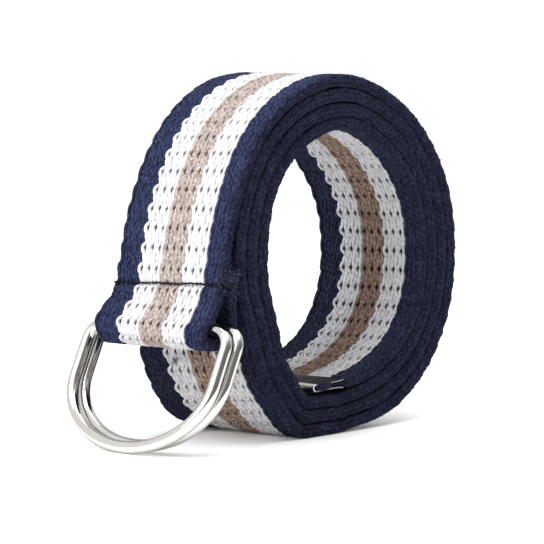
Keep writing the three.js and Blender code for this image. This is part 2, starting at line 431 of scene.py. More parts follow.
def solid3(plane, y):
    """Points or directions of the X-Z plane with a Y of their own, in three dimensions."""
    y = np.broadcast_to(y, plane.shape[:-1])
    return np.stack([plane[..., 0], y, plane[..., 1]], -1)


def skin(rings, following):
    """Four-sided faces between rings of vertex numbers and those that follow them."""
    return np.stack([rings, np.roll(rings, -1, 1), np.roll(following, -1, 1), following], -1).reshape(-1, 4)


def tube(centres, tangents, ups, half_widths, half_heights, along, sides):
    """A tube of oval section as (vertices, faces, texture coordinates), with closed ends."""
    across = np.cross(ups, tangents)
    angle = 2 * math.pi * np.arange(sides) / sides
    wide = across[:, None] * (np.cos(angle) * np.reshape(half_widths, (-1, 1)))[..., None]
    high = ups[:, None] * (np.sin(angle) * np.reshape(half_heights, (-1, 1)))[..., None]
    vertices = (centres[:, None] + wide + high).reshape(-1, 3)
    rings = np.arange(len(centres) * sides).reshape(-1, sides)
    quads = skin(rings[:-1], rings[1:])
    caps = [list(rings[0][::-1]), list(rings[-1])]
    shape = rings[1:].shape
    run = np.broadcast_to(np.asarray(along)[:-1, None], shape)
    step = np.broadcast_to(np.diff(along)[:, None], shape)
    turn = np.broadcast_to(np.arange(sides) / sides, shape)
    corners_u = np.stack([run, run, run + step, run + step], -1)
    corners_v = np.stack([turn, turn + 1 / sides, turn + 1 / sides, turn], -1)
    uv = np.stack([corners_u, corners_v], -1).reshape(-1, 2)
    return vertices, quads, caps, uv


def make_piece(name, parts, material, body="belt"):
    """One mesh object of several tubes, which rides on a body and wears the material it is given."""
    offset = 0
    vertices, quads, caps, uvs = [], [], [], []
    for part_vertices, part_quads, part_caps, part_uv in parts:
        vertices.append(part_vertices)
        quads.append(part_quads + offset)
        caps.extend([[corner + offset for corner in cap] for cap in part_caps])
        uvs.append(part_uv)
        offset += len(part_vertices)
    vertices, quads, uvs = (np.concatenate(group) for group in (vertices, quads, uvs))
    vertices[:, 2] = np.maximum(vertices[:, 2], LOWEST)
    cap_corners = [corner for cap in caps for corner in cap]
    loops = np.concatenate([quads.ravel(), np.array(cap_corners, int)])
    sizes = np.concatenate([np.full(len(quads), 4), [len(cap) for cap in caps]]).astype(int)
    starts = np.concatenate([[0], np.cumsum(sizes)[:-1]])
    mesh = bpy.data.meshes.new(name)
    mesh.vertices.add(len(vertices))
    mesh.vertices.foreach_set("co", vertices.astype(np.float32).ravel())
    mesh.loops.add(len(loops))
    mesh.loops.foreach_set("vertex_index", loops.astype(np.int32))
    mesh.polygons.add(len(sizes))
    mesh.polygons.foreach_set("loop_start", starts.astype(np.int32))
    mesh.polygons.foreach_set("use_smooth", np.ones(len(sizes), bool))
    mesh.update(calc_edges=True)
    layer = mesh.uv_layers.new(name="yarn")
    texture = np.concatenate([uvs, np.zeros((len(cap_corners), 2))])
    layer.data.foreach_set("uv", texture.astype(np.float32).ravel())
    mesh.validate()
    piece = bpy.data.objects.new(name, mesh)
    bpy.context.scene.collection.objects.link(piece)
    mesh.materials.append(material)
    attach(piece, body)
    return piece


# Materials

class Graph:
    """A material's node tree with short calls for the nodes used here."""

    def __init__(self, name):
        self.material = bpy.data.materials.new(name)
        self.material.use_nodes = True
        self.tree = self.material.node_tree
        self.shader = self.tree.nodes["Principled BSDF"]

    def add(self, kind, inputs=(), **settings):
        made = self.tree.nodes.new(kind)
        for key, value in settings.items():
            setattr(made, key, value)
        for key, value in dict(inputs).items():
            self.feed(made.inputs[key], value)
        return made

    def feed(self, socket, value):
        if isinstance(value, bpy.types.NodeSocket):
            self.tree.links.new(value, socket)
        else:
            socket.default_value = value

    def maths(self, operation, first, second=0.0):
        return self.add("ShaderNodeMath", {0: first, 1: second}, operation=operation).outputs[0]

    def noise(self, vector, scale, detail=2.0, roughness=0.5):
        inputs = {"Vector": vector, "Scale": scale, "Detail": detail, "Roughness": roughness}
        return self.add("ShaderNodeTexNoise", inputs).outputs["Fac"]

    def vector(self, operation, first, second=(0.0, 0.0, 0.0)):
        return self.add("ShaderNodeVectorMath", {0: first, 1: second}, operation=operation).outputs

    def mixed(self, amount, first, second):
        """One colour turning into another."""
        made = self.add("ShaderNodeMix", data_type="RGBA")
        for place, value in ((0, amount), (6, first), (7, second)):
            self.feed(made.inputs[place], value)
        return made.outputs[2]

    def bump(self, height, strength, distance):
        made = self.add("ShaderNodeBump", {"Height": height, "Strength": strength, "Distance": distance})
        self.feed(self.shader.inputs["Normal"], made.outputs[0])

    def surface(self, inputs):
        """The finished material, with these inputs of its surface."""
        for key, value in inputs.items():
            self.feed(self.shader.inputs[key], value)
        return self.material

    def ramp(self, factor, stops, interpolation="LINEAR"):
        made = self.add("ShaderNodeValToRGB", {"Fac": factor})
        made.color_ramp.interpolation = interpolation
        elements = made.color_ramp.elements
        while len(elements) < len(stops):
            elements.new(1.0)
        for element, (position, colour) in zip(elements, stops):
            element.position = position
            element.color = (*colour, 1)
        return made.outputs["Color"]


# Cotton: pitch of its plies in millimetres along a strand, sizes of its clumps, fuzz and patches, and the
# shares of each in its tone and its relief
PLY_PITCH = 1.9
PLIES = 2
PLY_WANDER = 1.3
CLUMP = 0.85 * MILLIMETRE
FUZZ = 0.33 * MILLIMETRE
PATCH = 6 * MILLIMETRE
TONE_SHARES = {"ply": 0.022, "streak": 0.35, "clump": 0.4, "fuzz": 0.3, "patch": 0.1}
TONE_STOPS = (0.46, 0.575, 0.70)
RELIEF_SHARES = {"ply": 0.16, "streak": 0.5, "clump": 0.7, "fuzz": 0.5}
COTTON_RELIEF = 0.3 * MILLIMETRE


def cotton(name, dark, middle, light, sheen=0.02, smudge=None):
    """Soft spun cotton: plies wound loosely round the strand, streaks and clumps of fibre and a fine fuzz."""
    graph = Graph(name)
    uv = graph.add("ShaderNodeUVMap", uv_map="yarn").outputs["UV"]
    place = graph.add("ShaderNodeTexCoord").outputs["Object"]
    parts = graph.add("ShaderNodeSeparateXYZ", {0: uv})
    layers = {"clump": graph.noise(place, 1 / CLUMP, 3.0, 0.6)}
    wound = graph.maths("ADD", graph.maths("DIVIDE", parts.outputs["X"], PLY_PITCH),
                        graph.maths("MULTIPLY", parts.outputs["Y"], PLIES))
    wound = graph.maths("ADD", wound, graph.maths("MULTIPLY", layers["clump"], PLY_WANDER))
    layers["ply"] = graph.maths("SINE", graph.maths("MULTIPLY", wound, 2 * math.pi))
    stretched = graph.vector("MULTIPLY", uv, (0.8, 4.0, 1.0))[0]
    layers["streak"] = graph.noise(stretched, 1.0, 3.0, 0.6)
    layers["fuzz"] = graph.noise(place, 1 / FUZZ, 3.0, 0.7)
    layers["patch"] = graph.noise(place, 1 / PATCH, 1.0)

    def blended(shares):
        total = 0.0
        for layer, share in shares.items():
            total = graph.maths("ADD", total, graph.maths("MULTIPLY", layers[layer], share))
        return total

    colour = graph.ramp(blended(TONE_SHARES), list(zip(TONE_STOPS, (dark, middle, light))))
    if smudge:
        colour = smudged(graph, place, colour, **smudge)
    graph.bump(blended(RELIEF_SHARES), 0.8, COTTON_RELIEF)
    return graph.surface({
        "Base Color": colour, "Roughness": 1.0, "Specular IOR Level": 0.04,
        "Sheen Weight": sheen, "Sheen Roughness": 0.6,
    })


def smudged(graph, place, colour, centre, direction, length, width, shade):
    """A colour with a soft smudge drawn over it along a short line."""
    away = graph.vector("SUBTRACT", place, centre)[0]
    along = graph.maths("ABSOLUTE", graph.vector("DOT_PRODUCT", away, direction)["Value"])
    reach = graph.vector("LENGTH", away)["Value"]
    square = graph.maths("SUBTRACT", graph.maths("POWER", reach, 2.0), graph.maths("POWER", along, 2.0))
    aside = graph.maths("SQRT", graph.maths("MAXIMUM", square, 0.0))
    far = graph.maths("ADD", graph.maths("DIVIDE", aside, width), graph.maths("DIVIDE", along, length))
    ragged = graph.maths("ADD", far, graph.noise(place, 1 / (0.9 * MILLIMETRE), 3.0, 0.7))
    amount = graph.add("ShaderNodeMapRange", {"Value": ragged, "From Min": 1.5, "From Max": 0.8,
                                              "To Min": 0.0, "To Max": 0.9}).outputs[0]
    return graph.mixed(amount, colour, (*shade, 1))


def core_cotton():
    """Inside of the webbing, seen only through the holes between the strands: near black as painted shade,
    with faint stripes.
    """
    graph = Graph("core_cotton")
    place = graph.add("ShaderNodeTexCoord").outputs["Object"]
    across = graph.add("ShaderNodeSeparateXYZ", {0: place}).outputs["Y"]
    from_edge = graph.maths("SUBTRACT", across, FIRST_STRAND_EDGE)
    share = graph.maths("DIVIDE", from_edge, STRAND_PITCH * STRANDS)
    # Painted shade: near-black tones of each stripe for the depth of the holes
    tones = {"navy": (0.003, 0.004, 0.009), "white": (0.035, 0.034, 0.035), "tan": (0.02, 0.011, 0.009)}
    starts = [sum(count for _, count in STRIPES[:i]) / STRANDS for i in range(len(STRIPES))]
    stops = [(start, tones[colour]) for start, (colour, _) in zip(starts, STRIPES)]
    striped = graph.ramp(share, stops, "CONSTANT")
    graph.bump(graph.noise(place, 1 / (0.4 * MILLIMETRE), 3.0), 0.8, COTTON_RELIEF)
    return graph.surface({"Base Color": striped, "Roughness": 1.0, "Specular IOR Level": 0.05})


def metal(name, colour, edge, smooth, rough, darker_past=None):
    """Plated metal with faint scratches, darker at its edges of view, and of a darker tone past a place along
    X.
    """
    graph = Graph(name)
    place = graph.add("ShaderNodeTexCoord").outputs["Object"]
    cloud = graph.noise(place, 1 / (5 * MILLIMETRE), 4.0, 0.6)
    drawn = graph.vector("MULTIPLY", place, (1.0, 0.12, 1.0))[0]
    scratch = graph.noise(drawn, 1 / (0.25 * MILLIMETRE), 2.0)
    spread = graph.add("ShaderNodeMapRange", {"Value": cloud, "From Min": 0.3, "From Max": 0.7,
                                              "To Min": smooth, "To Max": rough})
    base = graph.ramp(cloud, [(0.3, tuple(0.9 * part for part in colour)), (0.7, colour)])
    if darker_past is not None:
        across = graph.add("ShaderNodeSeparateXYZ", {0: place}).outputs["X"]
        ragged = graph.maths("ADD", across, graph.maths("MULTIPLY", scratch, 0.8 * MILLIMETRE))
        amount = graph.add("ShaderNodeMapRange", {"Value": ragged, "From Min": darker_past,
                                                  "From Max": darker_past + 0.7 * MILLIMETRE}).outputs[0]
        base = graph.mixed(amount, base, (*TIP_DARK_TONE, 1))
    graph.bump(scratch, 0.12, 0.05 * MILLIMETRE)
    return graph.surface({
        "Base Color": base, "Roughness": spread.outputs[0], "Metallic": 1.0, "Specular Tint": (*edge, 1),
    })


TIP_DARK_TONE = (0.2, 0.205, 0.22)
TIP_DARK_START = -0.0045
SMUDGE = {
    "centre": (-0.0310, 0.0076, 0.0211),
    "direction": (-0.17, -0.82, 0.54),
    "length": 0.0030,
    "width": 0.0015,
    "shade": (0.09, 0.10, 0.14),
}


def cottons(name, tones, smudge=None):
    """A cotton for each colour of the stripes, from its dark, middle and light tone."""
    return {
        colour: cotton(name.format(colour), *three, smudge=smudge if colour == "white" else None)
        for colour, three in tones.items()
    }


COTTON = cottons("{}_cotton", {
    "navy": ((0.008, 0.010, 0.024), (0.0185, 0.0225, 0.058), (0.046, 0.056, 0.125)),
    "white": ((0.43, 0.425, 0.44), (0.57, 0.57, 0.58), (0.68, 0.68, 0.69)),
    "tan": ((0.17, 0.131, 0.114), (0.337, 0.282, 0.259), (0.515, 0.462, 0.447)),
})
# Lower outer face: navy and tan darker and browner as painted shade under the fold; white keeps its tone and
# carries the smudge
LOWER_SHADE_AND_SMUDGE_COTTON = cottons("lower_{}_cotton", {
    "navy": ((0.0055, 0.006, 0.012), (0.012, 0.013, 0.030), (0.030, 0.034, 0.068)),
    "white": ((0.43, 0.42, 0.435), (0.58, 0.57, 0.585), (0.69, 0.68, 0.70)),
    "tan": ((0.13, 0.085, 0.063), (0.275, 0.195, 0.155), (0.43, 0.33, 0.28)),
}, SMUDGE)
# Inner face: darker, browner copies of the cotton, painted shade for the dimmer light inside the coil
SHADED_INNER_COTTON = cottons("inner_{}_cotton", {
    "navy": ((0.006, 0.007, 0.015), (0.0145, 0.0165, 0.038), (0.038, 0.044, 0.085)),
    "white": ((0.40, 0.39, 0.41), (0.55, 0.545, 0.565), (0.68, 0.68, 0.695)),
    "tan": ((0.105, 0.067, 0.05), (0.222, 0.152, 0.121), (0.38, 0.287, 0.242)),
})
# Edges and the frayed tip end: a darker navy, painted shade for the shadowed near face of the coil
SHADED_EDGE_COTTON = cotton(
    "navy_edge_cotton", (0.0055, 0.0063, 0.0125), (0.0122, 0.014, 0.0325), (0.034, 0.039, 0.075)
)

THREAD = cotton("black_thread", (0.001, 0.001, 0.0015), (0.004, 0.004, 0.005), (0.02, 0.02, 0.022))
FRAY = cotton("frayed_cotton", (0.018, 0.021, 0.045), (0.06, 0.067, 0.12), (0.18, 0.19, 0.26), 0.05)
NICKEL = metal("nickel_plate", (0.68, 0.66, 0.635), (0.42, 0.41, 0.40), 0.06, 0.14)
TIP_NICKEL = metal("tip_nickel", (0.66, 0.64, 0.62), (0.25, 0.25, 0.26), 0.16, 0.32, TIP_DARK_START)


# Webbing

def wander(laid, spacing, amount):
    """A slow random drift along a strand."""
    knots = np.arange(laid[0] - spacing, laid[-1] + 2 * spacing, spacing)
    return np.interp(laid, knots, rng.normal(0, amount, len(knots)))


def row_phase(laid, face):
    """Angle through the weave's rows: nought at a row of holes."""
    return 2 * math.pi * (laid / ROW + ROW_START[face]) + wander(laid, 3 * ROW, ROW_JITTER)


def seam_tilt(y):
    """How far the seam lies up the strip at a place across it."""
    return -SEAM_SLIP - SEAM_TILT * y / (WEBBING_WIDTH / 2)


def sway(phase):
    """Swing of all strands together: to the far side at a row of holes, quickly back, then slowly over."""
    return np.cos(phase + 0.45 * (1 - np.cos(phase)))


def strand(stations, column, face):
    """One strand of a face, swinging against its neighbours so that holes open in rows."""
    laid, thickness = stations["laid"], stations["thickness"]
    phase = row_phase(laid, face)
    opening, closing = np.maximum(np.cos(phase), 0) ** HOLE_SHARPNESS, np.maximum(-np.cos(phase), 0)
    side = 1 if column % 2 == 0 else -1
    navy = STRAND_COLOURS[column] == "navy"
    loose = NAVY_HOLES if navy else INNER_HOLES if face < 0 else 1.0
    y = (column + 0.5) * STRAND_PITCH + FIRST_STRAND_EDGE
    y = y + loose * side * (HOLE_SWING * opening - HALF_ROW_SWING * closing)
    y = y + np.interp(column, SWAY_COLUMNS, SWAY_WIDTHS) * sway(phase) + wander(laid, 2 * ROW, SIDE_DRIFT)

    grain_phase = phase + (wander(laid, ROW, NAVY_JITTER) if navy else 0)
    wrapped = (grain_phase + math.pi) % (2 * math.pi) - math.pi
    from_dip = np.abs(wrapped) - GRAIN_DIP_AT - GRAIN_DIP_STAGGER * side
    dip = np.exp(-((from_dip / GRAIN_DIP_LENGTH) ** 2))
    width = STRAND_WIDTH - loose * HOLE_NARROWING * opening**2 - GRAIN_WAIST * dip
    width = width * (1 + wander(laid, ROW, SIZE_DRIFT))
    height = np.minimum(STRAND_HEIGHT, thickness / 2) * (1 + wander(laid, ROW, SIZE_DRIFT))
    rise = thickness / 2 - height / 2 - GRAIN_DIP * (dip + HOLE_DIP_SHARE * opening)
    rise = rise + wander(laid, 3 * ROW, RISE_DRIFT)
    if face > 0:
        past_seam = stations["s"] - strip.seam - seam_tilt(y)
        rise = rise - SEAM_PINCH * np.exp(-((past_seam / PINCH_WIDTH) ** 2))
    aside, drop = COLUMN_SHIFTS.get(column, (0, 0))
    y, rise = y + aside, rise - drop
    lift = face * rise + stations["lean"] * y / (WEBBING_WIDTH / 2)
    middle = solid3(stations["middle"] + stations["outward"] * lift[:, None], y)
    ups = solid3(stations["outward"] * face, 0.0)
    along = laid / MILLIMETRE + COLUMN_YARN * column
    return tube(middle, solid3(stations["tangent"], 0.0), ups, width / 2, height / 2, along, STRAND_SIDES)


def edge_strand(stations, edge, layer):
    """One of the three strands that close an edge between the faces: layer -1, 0 or 1."""
    laid, thickness = stations["laid"], stations["thickness"]
    swing = sway(row_phase(laid, 0) + EDGE_LAG * layer)
    amount = SWAY_WIDTHS[0] if edge < 0 else SWAY_WIDTHS[-1]
    inset = EDGE_INSET + EDGE_ROUNDING * abs(layer)
    y = edge * (WEBBING_WIDTH / 2 - inset) + amount * swing + wander(laid, ROW, EDGE_SIDE_DRIFT)
    slack = EDGE_FILL[edge] * strip.slack(stations["s"], layer) if layer else 0.0
    half_width = (thickness / EDGE_WIDTH_PART + slack / 2) * (1 + wander(laid, ROW, EDGE_SIZE_DRIFT))
    lift = layer * (thickness * EDGE_LIFT_SHARE + slack / 2) + wander(laid, ROW, EDGE_LIFT_DRIFT)
    lift = lift + stations["lean"] * y / (WEBBING_WIDTH / 2)
    middle = solid3(stations["middle"] + stations["outward"] * lift[:, None], y)
    ups = np.broadcast_to(np.array([0.0, edge, 0.0]), (len(laid), 3))
    along = laid / MILLIMETRE + EDGE_YARN * edge + LAYER_YARN * layer
    half_height = np.full(len(laid), EDGE_HALF_DEPTH)
    return tube(middle, solid3(stations["tangent"], 0.0), ups, half_width, half_height, along, STRAND_SIDES)


def weave_edges():
    """The edge strands of the whole strip and the columns next to them that weave_face leaves out."""
    starts = {-1: 0, 0: 0, 1: COVERED}
    step = ROW / EDGE_STEPS
    stations = {face: strip.stations(face, start, strip.length, step) for face, start in starts.items()}
    for edge, name in ((-1, "near"), (1, "far")):
        columns = range(EDGE_COLUMNS) if edge < 0 else range(STRANDS - EDGE_COLUMNS, STRANDS)
        parts = [strand(stations[face], column, face) for face in (-1, 1) for column in columns]
        parts.extend(edge_strand(stations[0], edge, layer) for layer in (-1, 0, 1))
        make_piece("weave_edge_" + name, parts, SHADED_EDGE_COTTON)


def weave_face(name, face, start, end, yarns, left_out=0):
    """The strands of one visible face between two lengths, a piece for each colour."""
    stations = strip.stations(face, start, end, ROW / FACE_STEPS)
    for colour in dict.fromkeys(STRAND_COLOURS):
        columns = [c for c in range(left_out, STRANDS - left_out) if STRAND_COLOURS[c] == colour]
        parts = [strand(stations, column, face) for column in columns]
        make_piece(f"weave_{name}_{colour}", parts, yarns[colour])


CORE_STEP = 0.0009
CORE_INSET = 0.0009
THINNEST_CORE = 0.00015
CORE_SECTION = [(-1, -0.5), (-0.97, -1), (0.97, -1), (1, -0.5), (1, 0.5), (0.97, 1), (-0.97, 1), (-1, 0.5)]


def webbing_core():
    """The body of the webbing under its strands, painted dark as the shade seen through the holes."""
    stations = strip.stations(0, 0, strip.length, CORE_STEP)
    across, up = np.array(CORE_SECTION).T
    y = across * (WEBBING_WIDTH / 2 - CORE_INSET)
    half = np.maximum(stations["thickness"] / 2 - CORE_INSET, THINNEST_CORE)[:, None]
    lift = up * half + stations["lean"][:, None] * y / (WEBBING_WIDTH / 2)
    plane = stations["middle"][:, None] + stations["outward"][:, None] * lift[..., None]
    vertices = solid3(plane, y).reshape(-1, 3)
    rings = np.arange(len(vertices)).reshape(-1, len(CORE_SECTION))
    quads = skin(rings[:-1], rings[1:])
    caps = [list(rings[0][::-1]), list(rings[-1])]
    return vertices, quads, caps, np.zeros((quads.size, 2))


core = make_piece("webbing_core", [webbing_core()], core_cotton())
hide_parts("webbing")
weave_edges()
weave_face("outside", 1, 0, UNDERSIDE, COTTON)
# The lower outer face, in the copies of the cotton with painted shade
weave_face("lower", 1, UNDERSIDE, COVERED, LOWER_SHADE_AND_SMUDGE_COTTON)
weave_face("fold", -1, 0, strip.at_sweep(FOLD_INSIDE_END), COTTON, EDGE_COLUMNS)
# The inner face, in the copies of the cotton with painted shade
weave_face("inside", -1, strip.at_sweep(INSIDE_START), strip.tip_mouth, SHADED_INNER_COTTON, EDGE_COLUMNS)


# Seam and loose fibres

def stitches():
    """The row of black thread over the outer face and round the near edge, drawn in at each needle hole."""
    seam = strip.stations(1, strip.seam, strip.seam + 2 * ROW, ROW / FACE_STEPS)
    middle, outward, tangent = seam["middle"][0], seam["outward"][0], seam["tangent"][0]
    half_width, half_thickness = WEBBING_WIDTH / 2, WEBBING_THICKNESS / 2
    y = np.arange(half_width, -half_width, -THREAD_STEP)
    from_hole = (y - half_width + STITCH_LENGTH / 2) % STITCH_LENGTH - STITCH_LENGTH / 2
    lift = half_thickness - THREAD_SINK * SEAM_PINCH - NEEDLE_DIP * np.exp(-((from_hole / NEEDLE_HOLE) ** 2))
    lift = lift + np.interp(strip.seam, strip.s, strip.lean) * y / half_width
    lift = lift + rng.normal(0, THREAD_DRIFT, len(y))
    turn = np.linspace(0, math.pi, 12)[1:]
    round_y = -half_width - THREAD_BULGE - THREAD_BULGE * np.sin(turn)
    round_lift = lift[-1] * np.cos(turn)
    y, lift = np.concatenate([y, round_y]), np.concatenate([lift, round_lift])
    drift = seam_tilt(y) + SEAM_WAVE * np.sin(y / SEAM_WAVE_LENGTH) + rng.normal(0, THREAD_DRIFT, len(y))
    centres = solid3(middle + outward * lift[:, None] + tangent * drift[:, None], y)
    directions = unit(np.gradient(centres, axis=0))
    ups = unit(np.cross(directions, solid3(tangent, 0.0)))
    radius = THREAD_RADIUS * (1 + rng.normal(0, 0.06, len(y)))
    return tube(centres, directions, ups, radius, radius, run_along(centres) / MILLIMETRE, 8)


def fibre(root, direction, length, radius, curl, steps):
    """A thin loose fibre that wanders as it goes."""
    heading = direction + np.cumsum(rng.normal(0, curl, (steps + 1, 3)), axis=0)
    centres = root + np.cumsum(unit(heading), axis=0) * length / steps
    directions = unit(np.gradient(centres, axis=0))
    ups = unit(np.cross(directions, rng.normal(0, 1, 3)))
    radii = radius * np.linspace(1.0, 0.5, steps + 1)
    return tube(centres, directions, ups, radii, radii, np.linspace(0, length, steps + 1) / MILLIMETRE, 3)


def scattered(count, root, root_spread, direction, direction_spread, lengths, radii, curl, steps=8):
    """Fibres rooted round a point and pointing about one way."""
    made = []
    for _ in range(count):
        start = np.asarray(root) + rng.normal(0, 1, 3) * root_spread
        heading = np.asarray(direction) + rng.normal(0, direction_spread, 3)
        made.append(fibre(start, heading, rng.uniform(*lengths), rng.uniform(*radii), curl, steps))
    return made


# Radii of loose fibres, from clumps to single ones
CLUMPED = (0.00013, 0.00022)
LOOSE = (0.00005, 0.0001)
FINE = (0.00005, 0.00009)
FINER = (0.00004, 0.00008)
FINEST = (0.00002, 0.00004)


def tail_fray():
    """The raw end of the folded tail, frayed out of the near edge and up between the layers."""
    near = solid3(strip.middle[0], -WEBBING_WIDTH / 2)
    tuft = near + [-0.0013, 0.0003, -0.0002]
    below = near + [-0.0012, 0.0003, -0.0040]
    parts = scattered(60, tuft, (0.0011, 0.0003, 0.0016), (-0.1, -0.8, 0.1), 0.8,
                      (0.0012, 0.0028), CLUMPED, 0.7)
    parts += scattered(90, tuft, (0.0013, 0.0003, 0.0017), (-0.1, -0.9, 0.1), 0.8,
                       (0.0010, 0.0032), LOOSE, 0.6)
    parts += scattered(60, below, (0.0007, 0.0003, 0.0015), (-0.1, -0.6, -0.2), 0.6,
                       (0.0008, 0.0022), FINE, 0.5)
    for _ in range(120):
        root = solid3(strip.middle[0], rng.uniform(-0.018, 0.019))
        parts += scattered(1, root, (0.0005, 0, 0.0002), (-0.2, 0.0, 1.0), 0.4, (0.0008, 0.002), FINE, 0.4, 5)
    return parts


def tip_fray():
    """The webbing's end that bulges out of the open side of the folded tip."""
    direction, normal = strip.tip_direction, np.array([-strip.tip_direction[1], strip.tip_direction[0]])
    along = np.linspace(0.0046, 0.0118, 14)
    swell = np.sqrt(np.clip(1 - ((along - along.mean()) / 0.0040) ** 2, 0.05, 1))
    lift = 0.00025 * swell * np.sign(normal[1])
    plane = strip.tip_at + direction * along[:, None] + normal * lift[:, None]
    y = -WEBBING_WIDTH / 2 - 0.0001 - 0.0004 * swell + rng.normal(0, 0.00006, len(along))
    centres = solid3(plane, y)
    ups = np.broadcast_to(np.array([0.0, -1.0, 0.0]), centres.shape)
    tangents = np.broadcast_to(solid3(direction, 0.0), centres.shape)
    parts = [tube(centres, tangents, ups, 0.00125 * swell, 0.0005 * swell, along / MILLIMETRE, 10)]
    for centre in centres[1:-1]:
        parts += scattered(5, centre, (0.0003, 0.0001, 0.0006), (0.0, -1.0, 0.2), 0.8,
                           (0.0005, 0.0014), FINER, 0.5, 5)
    return parts


def edge_fuzz(edge, count):
    """Short fibres that stand out of an edge anywhere along the strip."""
    parts = []
    for _ in range(count):
        at = rng.integers(len(strip.s))
        thickness, outward = strip.thickness[at], strip.outward[at]
        spot = 0.5 * np.sin(math.pi * rng.uniform(-0.5, 0.5))
        plane = strip.middle[at] + outward * (spot * thickness + edge * strip.lean[at])
        root = solid3(plane, edge * (WEBBING_WIDTH / 2 - 0.0001 - 0.0008 * abs(spot)))
        direction = solid3(outward * spot * 1.6, edge * 0.9) + rng.normal(0, 0.7, 3)
        length, radius = rng.uniform(0.0004, 0.0013), rng.uniform(*FINEST)
        parts.append(fibre(root, direction, length, radius, 0.35, 3))
    return parts


def face_fuzz(count, colour):
    """Short fibres that lie over the outer face of a stripe."""
    start, end = np.searchsorted(strip.s, [0.01, strip.at_sweep(350)])
    columns = [c for c in range(STRANDS) if STRAND_COLOURS[c] == colour]
    parts = []
    for _ in range(count):
        at = rng.integers(start, end)
        outward = strip.outward[at]
        y = (rng.choice(columns) + rng.uniform(0, 1)) * STRAND_PITCH + FIRST_STRAND_EDGE
        lift = strip.thickness[at] / 2 - 0.0001 + strip.lean[at] * y / (WEBBING_WIDTH / 2)
        direction = solid3(outward * 0.7, 0.0) + rng.normal(0, 0.8, 3)
        length = rng.uniform(0.0004, 0.0012)
        parts.append(fibre(solid3(strip.middle[at] + outward * lift, y), direction, length, 0.000025, 0.4, 3))
    return parts


make_piece("seam_thread", [stitches()], THREAD)
make_piece("frayed_tail", tail_fray(), FRAY)
make_piece("frayed_tip_end", tip_fray(), SHADED_EDGE_COTTON)
make_piece("fuzz_edge_near", edge_fuzz(-1, 2400), COTTON["navy"])
make_piece("fuzz_edge_far", edge_fuzz(1, 700), COTTON["navy"])
make_piece("fuzz_face_navy", face_fuzz(500, "navy"), COTTON["navy"])
make_piece("fuzz_face_white", face_fuzz(300, "white"), COTTON["white"])


# Folded metal tip

TIP_FOLD_RADIUS = 0.00098
TIP_LINE_POINTS = 96
TIP_COLUMNS = 36
TIP_BEVEL = 0.00008
TIP_PRESSES = 9
TIP_SHARP_ANGLE = math.radians(35)


def tip_line():
    """Middle line of the sheet from the upper lip at the mouth, round the fold and back to the lower lip."""
    half = TIP_HEIGHT / 2 - TIP_SHEET / 2
    fold_at = TIP_LENGTH - TIP_SHEET / 2 - TIP_FOLD_RADIUS
    flare, squeeze, waist = half - 0.00002, half - 0.00026, half - 0.0003
    lip = [[0, flare], [0.0008, flare - 0.0001], [0.002, squeeze]]
    upper = np.array([*lip, [0.006, waist], [0.0098, waist]])
    turn = np.radians(np.linspace(118, -118, 25))
    fold = np.stack([fold_at + TIP_FOLD_RADIUS * np.cos(turn), TIP_FOLD_RADIUS * np.sin(turn)], -1)
    line = np.concatenate([upper, fold, upper[::-1] * [1, -1]])
    run = run_along(line)
    even = np.linspace(0, run[-1], TIP_LINE_POINTS)
    line = np.stack([np.interp(even, run, line[:, 0]), np.interp(even, run, line[:, 1])], -1)
    return np.stack([smoothed(line[:, 0], 2), smoothed(line[:, 1], 2)], -1)


def folded_tip():
    """The sheet crimped over the end of the webbing, pressed a little unevenly along its width."""
    line = tip_line()
    slope = unit(np.gradient(line, axis=0))
    across = np.stack([-slope[:, 1], slope[:, 0]], -1)
    half_width = WEBBING_WIDTH / 2 + TIP_OVERHANG
    inner_y = np.linspace(half_width - TIP_BEVEL, -half_width + TIP_BEVEL, TIP_COLUMNS)
    stations_y = np.concatenate([[half_width], inner_y, [-half_width]])
    half_sheet = np.full(len(stations_y), TIP_SHEET / 2)
    half_sheet[[0, -1]] = TIP_SHEET / 2 - TIP_BEVEL
    knots = np.linspace(-half_width, half_width, TIP_PRESSES)
    press = np.interp(stations_y, knots, rng.normal(1, 0.035, TIP_PRESSES))
    shift = np.interp(stations_y, knots, rng.normal(0, 0.00006, TIP_PRESSES))
    direction = strip.tip_direction
    normal = np.array([-direction[1], direction[0]])
    rows = []
    for y, half, pressed, moved in zip(stations_y, half_sheet, press, shift):
        shaped = line * [1, pressed] + [0, moved]
        both = np.concatenate([shaped + across * half, (shaped - across * half)[::-1]])
        rows.append(solid3(strip.tip_at + both[:, :1] * direction + both[:, 1:] * normal, y))
    count = len(rows[0])
    vertices = np.concatenate(rows)
    rings = np.arange(len(vertices)).reshape(-1, count)
    quads = skin(rings[:-1], rings[1:])
    ends = []
    for ring, back in ((rings[0], True), (rings[-1], False)):
        for k in range(len(line) - 1):
            corners = [ring[k], ring[k + 1], ring[count - 2 - k], ring[count - 1 - k]]
            ends.append(corners[::-1] if back else corners)
    part = (vertices, quads, ends, np.zeros((quads.size, 2)))
    piece = make_piece("crimped_tip", [part], TIP_NICKEL)
    piece.data.set_sharp_from_angle(angle=TIP_SHARP_ANGLE)
    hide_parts("metal_tip")


folded_tip()


# D-rings

RING_STATIONS = 260
RING_SIDES = 24


